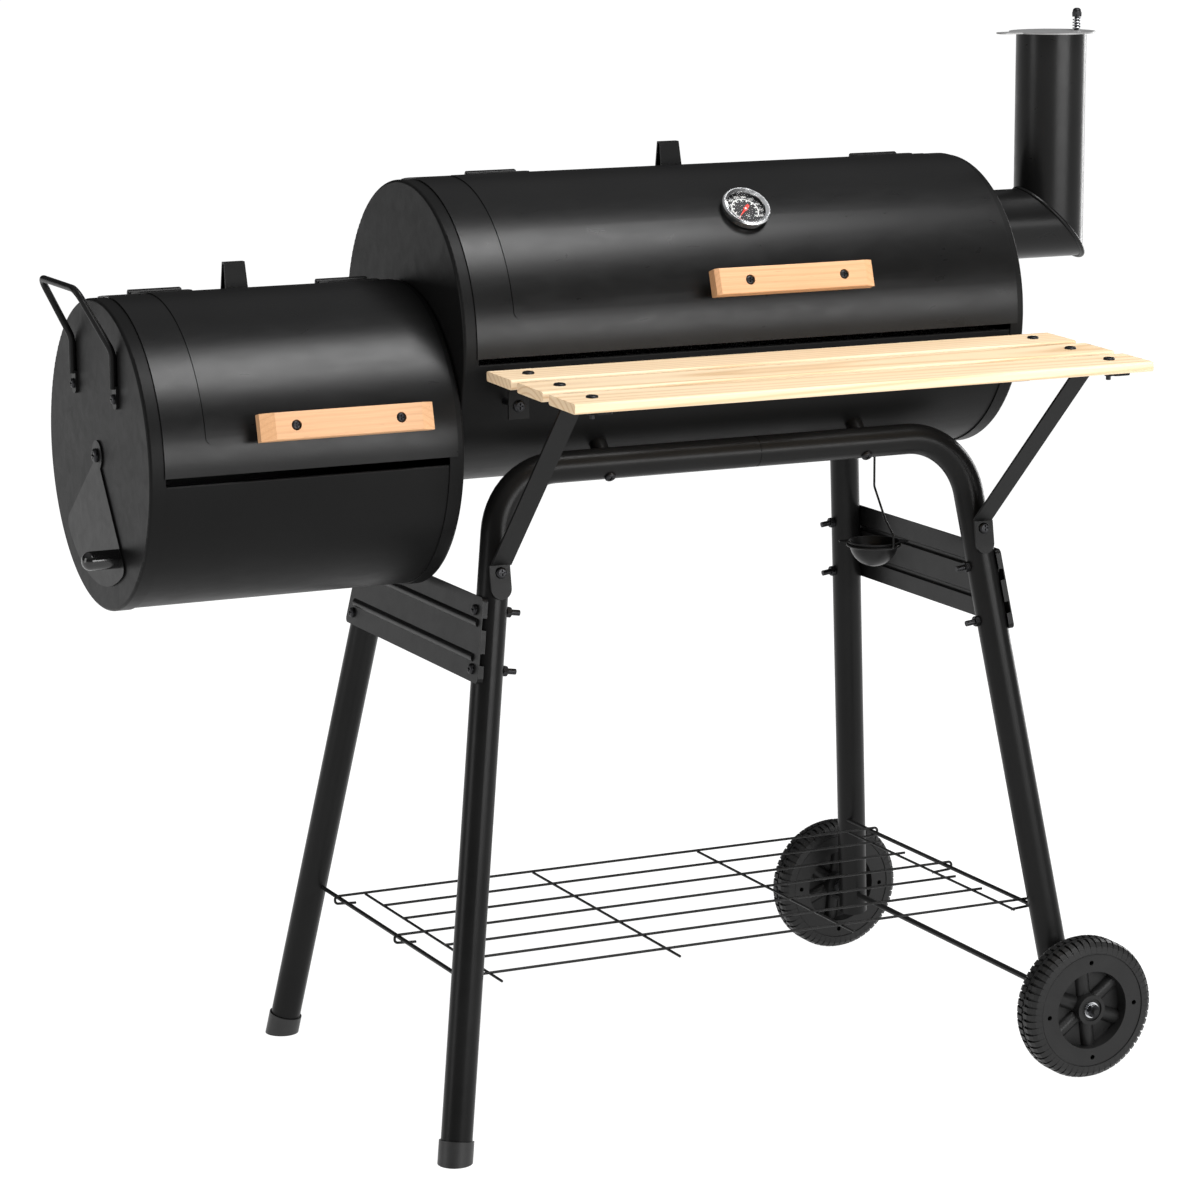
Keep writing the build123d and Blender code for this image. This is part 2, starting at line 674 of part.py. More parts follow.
def chimney_spring():
    """Compression spring between the rain cap and the washer."""
    low = FLUE_TOP + 2 * MOVING_GAP + RAIN_CAP_THICK + 0.7
    coil = Helix(pitch=3.0, height=12.6, radius=4.0)
    wire = sweep(Plane(origin=coil @ 0, z_dir=coil % 0) * Circle(0.65), coil, is_frenet=True)
    return Pos(RAIN_PIVOT_X, 0, low) * wire


# ================================ frame ================================

def leg_point(side, front, depth):
    """Middle of a leg at a depth below the main barrel's axis."""
    x = LEG_X0[side] + LEG_X_SLOPE[side] * depth
    return Vector(x, front * (LEG_Y0 + LEG_Y_SLOPE * depth), -depth)


def leg_frame(side, front, depth):
    """Frame across a leg: z points up along the leg."""
    up = leg_point(side, front, depth - 1) - leg_point(side, front, depth)
    return Plane(origin=leg_point(side, front, depth), x_dir=(up.Z, 0, -up.X), z_dir=up)


def barrel_bolt_frames(side):
    """Radial frames of the bolts between the barrel and one side's tubes."""
    x = BARREL_BOLTS_X[0] if side == LEFT else BARREL_BOLTS_X[1]
    tilt = math.degrees(math.atan2(TUBE_DROP, TUBE_Y))
    return [on_barrel(-tilt, x), on_barrel(180 + tilt, x)]


def tube_distance():
    return math.hypot(TUBE_DROP, TUBE_Y)


def panel_frame(side, front, depth):
    """Frame on a leg's axis: z points out of the grill's end, x along the panel, y up the slope."""
    out = Vector(side, 0, abs(LEG_X_SLOPE[side]))
    return Plane(origin=leg_point(side, front, depth), x_dir=(0, side, 0), z_dir=out)


def tab_frame(side, depth):
    """Frame on a front leg's axis: z points forward out of the leg, y up along it."""
    return Plane(origin=leg_point(side, FRONT, depth), x_dir=(1, 0, 0), z_dir=(0, -1, LEG_Y_SLOPE))


def rack_rod_x(side):
    return leg_point(side, FRONT, RACK_DEPTH).X + RACK_ROD_INSET[side]


def along_y(x, z):
    """Frame whose z points to the back."""
    return Plane(origin=(x, 0, z), x_dir=(1, 0, 0), z_dir=(0, 1, 0))


def frame_tube(side, front):
    """One bent tube: a level run beside the barrel, a bend and a splayed leg."""
    joint = Vector(TUBE_JOINT_X, front * TUBE_Y, -TUBE_DROP)
    points = [joint, leg_point(side, front, TUBE_DROP), leg_point(side, front, LEG_END[side])]
    tube = bent_wire(points, BEND_R, TUBE_R) - bent_wire(points, BEND_R, TUBE_BORE_R)
    frame = facing_left(TUBE_JOINT_X, front * TUBE_Y, -TUBE_DROP)
    step = TUBE_JOINT_STEP
    tube -= frame * ring(TUBE_R + 1, TUBE_R - step, -step, step)
    if side == RIGHT:
        tube += frame * (ring(TUBE_BORE_R - 0.1, 12.9, 0, 45) + ring(TUBE_BORE_R + 0.2, 12.9, -6, 0))
    bolt_frame = barrel_bolt_frames(side)[0 if front == FRONT else 1]
    tube -= bolt_frame * rod(M6_HOLE_R, 150, 205)
    for depth in END_PANEL_BOLTS:
        tube -= panel_frame(side, front, depth) * rod(M6_HOLE_R, -20, 20)
    if front == FRONT:
        tube -= tab_frame(side, TAB_SCREW_DEPTH) * rod(M6_HOLE_R, -20, 20)
    rod_end = leg_point(side, front, RACK_DEPTH).Y
    reach = sorted((rod_end, rod_end - front * 20))
    tube -= along_y(rack_rod_x(side), -RACK_DEPTH) * rod(RACK_ROD_R + 0.1, reach[0], reach[1])
    if side == RIGHT:
        tube -= along_y(leg_point(side, front, AXLE_DEPTH).X, -AXLE_DEPTH) * rod(AXLE_BORE_R, -300, 300)
    return tube


def saddle_spacers():
    """Short sleeves that keep the tubes off the barrel."""
    pieces = []
    for side in (LEFT, RIGHT):
        for frame in barrel_bolt_frames(side):
            sleeve = frame * ring(9.0, M6_HOLE_R, BODY_R - 2, tube_distance())
            sleeve -= Rot(0, 90, 0) * rod(BODY_R + 0.02, 0, MAIN_LENGTH)
            sleeve -= frame * Pos(0, 0, tube_distance()) * Rot(0, 90, 0) * rod(TUBE_R + 0.02, -30, 30)
            pieces.append(sleeve.solids().sort_by(SortBy.VOLUME)[-1])
    return group(pieces)


def frame_bolts():
    """Barrel bolts, end-panel bolts and bracket screws, each with its nut."""
    pieces = []
    head_seat = tube_distance() + TUBE_R
    nut_seat = BODY_R - SHEET - 0.15
    for side in (LEFT, RIGHT):
        for frame in barrel_bolt_frames(side):
            pieces.append(frame * screw(M6_R, nut_seat - 9, head_seat, 6.0, 3.6))
            pieces.append(frame * nut(10, M6_R, nut_seat - 5, nut_seat))
        for front in (FRONT, REAR):
            for depth in END_PANEL_BOLTS:
                frame = panel_frame(side, front, depth)
                pieces.append(frame * screw(M6_R, -TUBE_R - 15, TUBE_R + END_PANEL_SHEET, 5.5, 3.4))
                pieces.append(frame * nut(10, M6_R, -TUBE_R - 5, -TUBE_R))
        frame = tab_frame(side, TAB_SCREW_DEPTH)
        pieces.append(frame * screw(M6_R, -TUBE_R - 9, TUBE_R + BRACKET_THICK, 5.8, 3.4))
        pieces.append(frame * nut(10, M6_R, -TUBE_R - 5, -TUBE_R))
    return group(pieces)


def foot_caps():
    pieces = []
    for front in (FRONT, REAR):
        cap = leg_frame(LEFT, front, LEG_END[LEFT]) * rod(FOOT_CAP_R, -20, FOOT_CAP_HEIGHT - 8)
        cap -= leg_frame(LEFT, front, LEG_END[LEFT]) * rod(TUBE_R + 0.01, 0, 60)
        pieces.append(split(cap, bisect_by=Plane.XY.offset(-AXIS_HEIGHT), keep=Keep.TOP))
    return group(pieces)


def end_panel_outline(side, inset=0.0):
    """Trapezoid that follows the splay of the legs; its top edge is on the local x axis."""
    height = (END_PANEL_BOTTOM - END_PANEL_TOP) * math.hypot(1, LEG_X_SLOPE[side])
    top_half = LEG_Y0 + LEG_Y_SLOPE * END_PANEL_TOP + END_PANEL_OVERHANG - inset
    bottom_half = LEG_Y0 + LEG_Y_SLOPE * END_PANEL_BOTTOM + END_PANEL_OVERHANG - inset
    corners = [(-top_half, 0), (top_half, 0), (bottom_half, -height), (-bottom_half, -height)]
    return Polyline(*corners, close=True)


def bead_rod(bead, radius, half_length):
    """Lengthwise cylinder that forms one ridge of an end panel."""
    axis_z = TUBE_R + END_PANEL_SHEET - 2.6
    return Pos(0, -bead, axis_z) * Rot(0, 90, 0) * rod(radius, -half_length, half_length)


def side_panel(side):
    """Stiffening panel between a pair of legs: two lengthwise ridges and turned-in, notched ends."""
    outline = make_face(end_panel_outline(side))
    outline = fillet(outline.vertices(), 5)
    half = outline.bounding_box().max.X
    ridge_half = LEG_Y0 + LEG_Y_SLOPE * END_PANEL_TOP + END_PANEL_OVERHANG - 4
    lip_z = TUBE_R - END_PANEL_LIP
    lips = extrude(Pos(0, 0, lip_z) * outline, END_PANEL_LIP)
    lips -= extrude(Pos(0, 0, lip_z) * offset(outline, -END_PANEL_SHEET), END_PANEL_LIP)
    lips -= extrude(Pos(0, 0, lip_z) * make_face(end_panel_outline(side, 3.0)), END_PANEL_LIP)
    for bead in END_PANEL_BEADS:
        lips -= block(-half, half, -bead - 5, -bead + 5, lip_z, TUBE_R)
    panel = extrude(Pos(0, 0, TUBE_R) * outline, END_PANEL_SHEET) + lips
    for bead in END_PANEL_BEADS:
        panel += bead_rod(bead, 5.0, ridge_half)
    for bead in END_PANEL_BEADS:
        panel -= bead_rod(bead, 3.9, ridge_half - 1)
        panel -= block(-half, half, -bead - 6, -bead + 6, TUBE_R - 8, TUBE_R)
    place = panel_frame(side, FRONT, END_PANEL_TOP)
    place.origin = Vector(place.origin.X, 0, place.origin.Z)
    panel = place * panel
    for end in (FRONT, REAR):
        for depth in END_PANEL_BOLTS:
            panel -= panel_frame(side, end, depth) * rod(M6_HOLE_R, TUBE_R - 1, TUBE_R + 10)
    return panel


# ================================ shelf ================================

def shelf_frame():
    """Frame of the shelf: origin on the rear top edge, x along it, y towards the back, z up."""
    normal = (0, -math.sin(SHELF_TILT), math.cos(SHELF_TILT))
    return Plane(origin=(0, SHELF_REAR_Y, SHELF_REAR_Z), x_dir=(1, 0, 0), z_dir=normal)


def plank_span(index):
    rear = -index * (PLANK_WIDTH + PLANK_GAP)
    return rear - PLANK_WIDTH, rear


def plank(index):
    front, rear = plank_span(index)
    board = block(SHELF_X[0], SHELF_X[1], front, rear, -PLANK_THICK, 0)
    board = fillet(board.edges().filter_by(Axis.X), PLANK_EDGE)
    for x in SHELF_SCREWS_X:
        board -= Pos(x, (front + rear) / 2, 0) * rod(M5_HOLE_R, -PLANK_THICK - 1, 1)
    return shelf_frame() * board


def shelf_bolt_frame(x):
    """Frame of the bolt from a bracket's rear tab to the barrel, clear of the cap: z points forward."""
    x = min(x, MAIN_LENGTH - FLANGE - 5)
    return Plane(origin=(x, SHELF_REAR_Y - 4, SHELF_REAR_Z - 36), x_dir=(1, 0, 0), z_dir=(0, -1, 0))


def shelf_bracket(side):
    """Flat-bar bracket: a bar under the planks with a rear tab, and a strut down to the leg."""
    x = SHELF_SCREWS_X[0] if side == LEFT else SHELF_SCREWS_X[1]
    half = BRACKET_WIDTH / 2
    under = -PLANK_THICK
    bar = block(x - half, x + half, BRACKET_FRONT_Y, -4, under - BRACKET_THICK, under)
    bar = fillet(bar.edges().filter_by(Axis.Z).group_by(Axis.Y)[0], 6)
    for index in range(3):
        bar -= Pos(x, sum(plank_span(index)) / 2, 0) * rod(M5_HOLE_R, under - 5, under + 1)
    bracket = shelf_frame() * bar
    tab_y = SHELF_REAR_Y - 4
    rear_tab = block(x - half, x + half, tab_y - BRACKET_THICK, tab_y, -68, SHELF_REAR_Z + under - 1)
    rear_tab -= shelf_bolt_frame(x) * rod(M6_HOLE_R, -5, 5)
    tab = Rectangle(BRACKET_WIDTH, 24) + Pos(0, -12) * Circle(half)
    tab = extrude(tab, BRACKET_THICK)
    tab = tab_frame(side, BRACKET_DEPTH + 12) * Pos(0, 0, TUBE_R) * tab
    tab -= tab_frame(side, TAB_SCREW_DEPTH) * rod(M6_HOLE_R, TUBE_R - 5, TUBE_R + 10)
    foot = tab_frame(side, BRACKET_DEPTH).from_local_coords(Vector(0, 0, TUBE_R + BRACKET_THICK / 2))
    top = shelf_frame().from_local_coords(Vector(x, STRUT_TOP_Y, under - BRACKET_THICK - 0.3))
    return bracket + rear_tab + tab + strut_bar(foot, top)


def strut_bar(foot, head):
    """Straight flat bar between two points, its width along X."""
    run = head - foot
    across = Vector(1, 0, 0) - run * (run.X / run.dot(run))
    frame = Plane(origin=foot, x_dir=across, z_dir=run)
    return frame * Pos(0, 0, run.length / 2) * Box(BRACKET_WIDTH, BRACKET_THICK, run.length)


def shelf_screws():
    """Plank screws with nuts under the brackets, and the bolts that tie the brackets to the barrel."""
    under = -PLANK_THICK - BRACKET_THICK
    pieces = []
    for x in SHELF_SCREWS_X:
        for index in range(3):
            frame = shelf_frame() * Pos(x, sum(plank_span(index)) / 2, 0)
            pieces.append(frame * screw(M5_R, under - 8, 0, 6.0, 2.2))
            pieces.append(frame * nut(8, M5_R, under - 4, under))
        frame = shelf_bolt_frame(x)
        barrel_y = -math.sqrt((BODY_R - SHEET) ** 2 - frame.origin.Z ** 2)
        depth = barrel_y - frame.origin.Y
        pieces.append(frame * screw(M6_R, -depth - 10, BRACKET_THICK, 6.0, 3.4))
        pieces.append(frame * nut(10, M6_R, -depth - 9, -depth - 4))
    return group(pieces)


# ================================ bottom rack ================================

def rack_rods():
    pieces = []
    for side in (LEFT, RIGHT):
        reach = leg_point(side, REAR, RACK_DEPTH).Y
        pieces.append(along_y(rack_rod_x(side), -RACK_DEPTH) * rod(RACK_ROD_R, -reach, reach))
    return group(pieces)


def rack_wire_z():
    return -RACK_DEPTH + RACK_ROD_R + RACK_WIRE_R + 0.1


def hooked_wire(y):
    """Lengthwise wire whose ends curl over the rods and back under them."""
    z = rack_wire_z()
    low = z - 2 * HOOK_R
    left = rack_rod_x(LEFT) - 2.5 - HOOK_R
    right = rack_rod_x(RIGHT) + 2.5 + HOOK_R
    points = [
        (left + 24, y, low - 1.5), (left, y, low), (left, y, z),
        (right, y, z), (right, y, low), (right - 24, y, low - 1.5),
    ]
    return bent_wire(points, HOOK_R - 0.3, RACK_WIRE_R)


def bottom_rack():
    """Wire shelf that hangs on the two rods."""
    z = rack_wire_z()
    rack = None
    for k in range(-3, 4):
        y = RACK_WIRE_Y + k * RACK_WIRE_PITCH
        if k in (-3, 0, 3):
            wire = hooked_wire(y)
        else:
            wire = along_x(0, y, z) * rod(RACK_WIRE_R, RACK_CROSS_X[0] - 4, RACK_CROSS_X[-1] + 8)
        rack = wire if rack is None else rack + wire
    cross_z = z - 2 * RACK_WIRE_R + 0.4
    for x in RACK_CROSS_X:
        rack += along_y(x, cross_z) * rod(RACK_WIRE_R, RACK_CROSS_Y[0], RACK_CROSS_Y[1])
    return rack


# ================================ grease cup ================================

def cup_profile(inset):
    """Half section of the cup's bowl, inset from its outside: a short cone on a ball-shaped bottom."""
    ball_r = CUP_BALL_R - inset
    centre_z = CUP_RIM_Z - CUP_DEPTH + CUP_BALL_R
    a = math.radians(CUP_SHOULDER_ANGLE)
    shoulder = (ball_r * math.cos(a), centre_z - ball_r * math.sin(a))
    belly = (ball_r * math.sqrt(0.5), centre_z - ball_r * math.sqrt(0.5))
    bottom = (0, centre_z - ball_r)
    rim = (CUP_MOUTH_R - inset, CUP_RIM_Z)
    edges = [Line(rim, shoulder), ThreePointArc(shoulder, belly, bottom), Line(bottom, (0, CUP_RIM_Z))]
    return make_face(edges + [Line((0, CUP_RIM_Z), rim)])


def grease_cup():
    """Small bowl with a rim and two ears."""
    bowl = revolve(Plane.XZ * cup_profile(0), Axis.Z)
    rim = rod(29.8, CUP_RIM_Z - 1, CUP_RIM_Z)
    ear = make_face(Polyline((24, -12), (37.5, -3), (37.5, 3), (24, 12), close=True))
    for turn in (-25, 155):
        rim += Pos(0, 0, CUP_RIM_Z - 1) * Rot(0, 0, turn) * extrude(ear, 1)
    cup = (bowl + rim) - revolve(Plane.XZ * cup_profile(0.8), Axis.Z)
    return Pos(CUP_X, 0, 0) * cup


def grease_cup_hanger():
    """Wire from a cross bar inside the drain hole down to a ring round the cup."""
    ring_z = CUP_RIM_Z - 4.4
    ring_r = 28.4
    drop_r = 31.6
    a = math.radians(-77)
    side = (math.cos(a), math.sin(a))
    stations = [(0, CUP_PIVOT_Z), (0, -200), (0.6 * drop_r, -236)]
    stations += [(drop_r, -250), (drop_r, ring_z), (ring_r - 0.3, ring_z)]
    stem = bent_wire([(r * side[0], r * side[1], z) for r, z in stations], [8, 8, 5, 3], CUP_WIRE_R)
    loop = Pos(0, 0, ring_z) * Rot(0, 0, 100) * Torus(ring_r, CUP_WIRE_R + 0.1)
    bar = along_x(0, 0, CUP_PIVOT_Z) * rod(CUP_WIRE_R + 0.25, -12, 12)
    return Pos(CUP_X, 0, 0) * (loop + (stem + bar))


# ================================ axle and wheels ================================

def axle_x():
    return leg_point(RIGHT, FRONT, AXLE_DEPTH).X


def wheel_frame(front):
    """Frame at the middle of a wheel: z points away from the grill."""
    return Plane(origin=(axle_x(), front * WHEEL_Y, -AXLE_DEPTH), x_dir=(1, 0, 0), z_dir=(0, front, 0))


def axle():
    return along_y(axle_x(), -AXLE_DEPTH) * rod(AXLE_R, -WHEEL_Y - 26, WHEEL_Y + 26)


def axle_fasteners():
    """Spacers against the legs, outer washers and nuts."""
    pieces = []
    for front in (FRONT, REAR):
        frame = wheel_frame(front)
        leg_tube = leg_frame(RIGHT, front, AXLE_DEPTH) * rod(TUBE_R + 0.02, -30, 30)
        spacer = frame * ring(9.0, AXLE_R, -40, -18.3) - leg_tube
        pieces.append(spacer.solids().sort_by(lambda s: abs(s.center().Y))[-1])
        pieces.append(frame * ring(8.5, AXLE_R, 15.3, 16.5))
        pieces.append(frame * nut(12, AXLE_R, 16.5, 22.5))
    return group(pieces)


def tread_outline(root_r, tip_r, share, height):
    """Toothed circle at a height along the wheel's axis; each block fills a share of its pitch."""
    points = []
    half = share / 2
    corners = ((root_r, -0.5), (root_r, -half), (tip_r, -half), (tip_r, half), (root_r, half))
    for k in range(TREAD_BLOCKS):
        for radius, place in corners:
            a = 2 * math.pi * (k + place) / TREAD_BLOCKS
            points.append((radius * math.cos(a), radius * math.sin(a)))
    return Pos(0, 0, height) * make_face(Polyline(*points, close=True))


def tread_half():
    """One row of tread blocks that run on over the shoulder as ribs."""
    half = WHEEL_WIDTH / 2
    sections = [
        tread_outline(73.0, WHEEL_R, 0.62, 1.4),
        tread_outline(73.0, WHEEL_R, 0.62, half - 9.5),
        tread_outline(71.6, 73.6, 0.74, half - 4.5),
        tread_outline(67.8, 69.2, 0.84, half - 1.2),
        tread_outline(61.8, 62.6, 0.84, half),
    ]
    return loft(sections, ruled=True)


def wheel_form():
    """Moulded wheel: block tread, ribbed shoulders, flat faces and six round spokes on a web."""
    half = WHEEL_WIDTH / 2
    outer = tread_half()
    inner = Rot(180, 0, 180 / TREAD_BLOCKS) * outer
    body = outer + inner + rod(74.2, -2, 2)
    face = half - 0.8
    for z0, z1 in ((face, half), (-half, -face)):
        body -= rod(60.6, z0, z1)
    for z0, z1 in ((half - 1.4, half), (-half, -half + 1.4)):
        body -= ring(61.4, 60.6, z0, z1)
    body -= rod(42.0, -half, half)
    body -= ring(66.0, 45.0, -half + 3.5, half - 3.5)
    for k in range(4):
        spot = Rot(0, 0, 90 * k + 2) * Pos(52, 0, 0)
        body -= spot * rod(2.6, half - 6, half)
        body -= spot * rod(2.6, -half, -half + 6)
    return (body + wheel_hub()) - rod(AXLE_BORE_R, -half, half)


def wheel_hub():
    half = WHEEL_WIDTH / 2
    hub = rod(16.0, -half + 1.2, half - 1.2) + rod(43.0, -1.2, 1.2)
    for k in range(6):
        hub += Rot(0, 0, 60 * k + 37) * Rot(0, 90, 0) * rod(8.2, 10, 43.0)
    hub -= rod(12.0, 15.0, half)
    return hub - rod(12.0, -half, -15.0)


# ================================ inside ================================

def cooking_grate(x0, x1):
    """Half of the cooking surface: a wire frame with close cross bars."""
    half_y = 144.0
    grate = None
    for y in (-half_y, half_y):
        bar = along_x(0, y, COOKING_Z) * rod(3.0, x0, x1)
        grate = bar if grate is None else grate + bar
    for x in (x0 + 3, x1 - 3):
        grate += along_y(x, COOKING_Z) * rod(3.0, -half_y, half_y)
    count = 19
    for k in range(1, count):
        x = x0 + 3 + (x1 - x0 - 6) * k / count
        grate += along_y(x, COOKING_Z) * rod(2.0, -half_y, half_y)
    return grate


def cooking_grates():
    middle = MAIN_LENGTH / 2
    return group([cooking_grate(20, middle - 1), cooking_grate(middle + 1, MAIN_LENGTH - 20)])


def slotted_tray(x0, x1, half_y, z, columns):
    """Sheet tray with turned-up sides and rows of air slots."""
    tray = block(x0, x1, -half_y, half_y, z, z + 1.5)
    for y in (-half_y, half_y - 1.5):
        tray += block(x0, x1, y, y + 1.5, z, z + 12)
    pitch = (x1 - x0) / columns
    for k in range(columns):
        for row in (-0.6, 0, 0.6):
            slot = SlotOverall(half_y * 0.45, 8, rotation=90)
            tray -= Pos(x0 + pitch * (k + 0.5), row * half_y, z - 1) * extrude(slot, 4)
    return tray


def charcoal_grate():
    return slotted_tray(24, MAIN_LENGTH - 24, 110.0, CHARCOAL_Z, 22)


def firebox_grate():
    return slotted_tray(-FIREBOX_LENGTH + 22, -22, 126.0, FIREBOX_GRATE_Z, 11)


def grate_rest(x, front, axis_z, top_z, reach):
    """Bracket tab welded inside a body sheet, under a grate's edge."""
    wall = math.sqrt((BODY_R - SHEET) ** 2 - (top_z - axis_z) ** 2)
    lo, hi = sorted((front * (wall + 4), front * (wall - reach)))
    shelf = block(x - 12, x + 12, lo, hi, top_z - 2, top_z)
    lo, hi = sorted((front * (wall + 6), front * (wall - 3)))
    root = block(x - 12, x + 12, lo, hi, top_z - 16, top_z)
    return (shelf + root) & (Pos(0, 0, axis_z) * Rot(0, 90, 0) * rod(BODY_R - SHEET - 0.02, x - 20, x + 20))


def grate_rails():
    pieces = []
    for front in (FRONT, REAR):
        for x in (90.0, 240.0, 400.0, 550.0):
            pieces.append(grate_rest(x, front, 0, COOKING_Z - 3, 14))
        for x in (110.0, 520.0):
            pieces.append(grate_rest(x, front, 0, CHARCOAL_Z, 20))
        for x in (-270.0, -60.0):
            pieces.append(grate_rest(x, front, FIREBOX_Z, FIREBOX_GRATE_Z, 24))
    return group(pieces)


# ================================ assembly ================================

def build_nodes():
    """Every node of the grill in the layout frame."""
    nodes = {
        "main_body": main_body(),
        "main_left_cap": main_left_cap(),
        "main_right_cap": main_right_cap(),
        "main_lid": main_lid(),
        "main_handle_bar": handle_bar(MAIN_HANDLE, 0),
        "main_handle_sleeves": handle_sleeves(MAIN_HANDLE, 0),
        "main_handle_screws": handle_screws(MAIN_HANDLE, 0),
        "main_hinge_lid_leaves": group([hinge_lid_leaf(x, 0) for x in MAIN_HINGES]),
        "firebox_body": firebox_body(),
        "firebox_left_cap": firebox_left_cap(),
        "firebox_right_cap": firebox_right_cap(),
        "firebox_lid": firebox_lid(),
        "firebox_handle_bar": handle_bar(FIREBOX_HANDLE, FIREBOX_Z),
        "firebox_handle_sleeves": handle_sleeves(FIREBOX_HANDLE, FIREBOX_Z),
        "firebox_handle_screws": handle_screws(FIREBOX_HANDLE, FIREBOX_Z),
        "firebox_hinge_lid_leaves": group([hinge_lid_leaf(x, FIREBOX_Z) for x in FIREBOX_HINGES]),
        "hinge_body_leaves": group([hinge_body_leaf(x, axis_z) for x, axis_z in hinge_places()]),
        "hinge_pins": hinge_pins(),
        "lid_rests": group([lid_rest(LID_REST_X["main"], 0), lid_rest(LID_REST_X["firebox"], FIREBOX_Z)]),
        "thermometer_case": thermometer_case(),
        "thermometer_dial": thermometer_dial(),
        "thermometer_needle": thermometer_needle(),
        "thermometer_glass": thermometer_glass(),
        "thermometer_nut": thermometer_nut(),
        "side_handle": side_handle(),
        "damper_plate": damper_plate(),
        "damper_grip": damper_grip(),
        "damper_pivot": damper_pivot(),
        "firebox_bolts": group([side_handle_screws(), joining_bolts()]),
        "chimney_stub": chimney_stub(),
        "chimney_pipe": chimney_pipe(),
        "chimney_cap": chimney_cap(),
        "chimney_pivot_bolt": chimney_pivot_bolt(),
        "chimney_spring": chimney_spring(),
        "saddle_spacers": saddle_spacers(),
        "frame_bolts": frame_bolts(),
        "foot_caps": foot_caps(),
        "side_panel_left": side_panel(LEFT),
        "side_panel_right": side_panel(RIGHT),
        "shelf_brackets": group([shelf_bracket(LEFT), shelf_bracket(RIGHT)]),
        "shelf_screws": shelf_screws(),
        "rack_rods": rack_rods(),
        "bottom_rack": bottom_rack(),
        "grease_cup": grease_cup(),
        "grease_cup_hanger": grease_cup_hanger(),
        "axle": axle(),
        "axle_fasteners": axle_fasteners(),
        "cooking_grates": cooking_grates(),
        "charcoal_grate": charcoal_grate(),
        "firebox_grate": firebox_grate(),
        "grate_rails": grate_rails(),
    }
    for name, index in (("rear", 0), ("middle", 1), ("front", 2)):
        nodes["shelf_plank_" + name] = plank(index)
    for side, side_name in ((LEFT, "left"), (RIGHT, "right")):
        for front, front_name in ((FRONT, "front"), (REAR, "rear")):
            nodes["frame_tube_" + front_name + "_" + side_name] = frame_tube(side, front)
    wheel = wheel_form()
    nodes["front_wheel"] = wheel_frame(FRONT) * wheel
    nodes["rear_wheel"] = wheel_frame(REAR) * wheel
    return nodes


def main():
    os.makedirs("parts", exist_ok=True)
    nodes = build_nodes()
    boxes = [piece.bounding_box() for piece in nodes.values()]
    middle_x = (min(b.min.X for b in boxes) + max(b.max.X for b in boxes)) / 2
    middle_y = (min(b.min.Y for b in boxes) + max(b.max.Y for b in boxes)) / 2
    print("layout origin in the finished frame:", -middle_x, -middle_y, AXIS_HEIGHT)
    for name, piece in nodes.items():
        export_step(Pos(-middle_x, -middle_y, AXIS_HEIGHT) * piece, "parts/" + name + ".step")


if __name__ == "__main__":
    main()
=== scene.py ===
import json
import math

import bmesh
import bpy
from mathutils import Matrix, Vector


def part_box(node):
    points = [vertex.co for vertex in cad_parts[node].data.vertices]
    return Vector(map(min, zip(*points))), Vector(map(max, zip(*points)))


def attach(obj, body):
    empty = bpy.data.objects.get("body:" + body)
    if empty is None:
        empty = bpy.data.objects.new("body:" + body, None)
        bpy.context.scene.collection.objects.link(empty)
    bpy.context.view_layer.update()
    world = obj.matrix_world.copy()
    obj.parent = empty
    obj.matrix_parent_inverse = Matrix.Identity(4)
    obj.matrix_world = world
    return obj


# Barrel charcoal grill with an offset firebox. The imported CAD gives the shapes. This script adds
# the finishes, the dial's print, a pale studio floor, soft lights and the camera.

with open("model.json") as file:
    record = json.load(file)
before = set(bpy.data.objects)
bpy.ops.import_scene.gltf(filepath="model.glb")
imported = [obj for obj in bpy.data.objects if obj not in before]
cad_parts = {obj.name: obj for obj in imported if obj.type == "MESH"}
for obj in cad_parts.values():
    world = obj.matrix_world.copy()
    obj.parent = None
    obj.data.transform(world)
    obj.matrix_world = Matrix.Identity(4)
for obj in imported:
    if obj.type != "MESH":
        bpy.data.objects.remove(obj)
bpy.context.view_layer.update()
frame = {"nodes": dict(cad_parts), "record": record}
NODES = frame["nodes"]
SLOT_OF = {row["node"]: row["material_slot"] for row in frame["record"]["subparts"]}


MAIN_CAP = Vector((-0.2220, 0.0374, 0.8))    # centre of the main barrel's left cap
NUT_SEAT_Y = 0.2918      # the axle nuts lie farther than this from the barrel's axis


# ================================ material building ================================

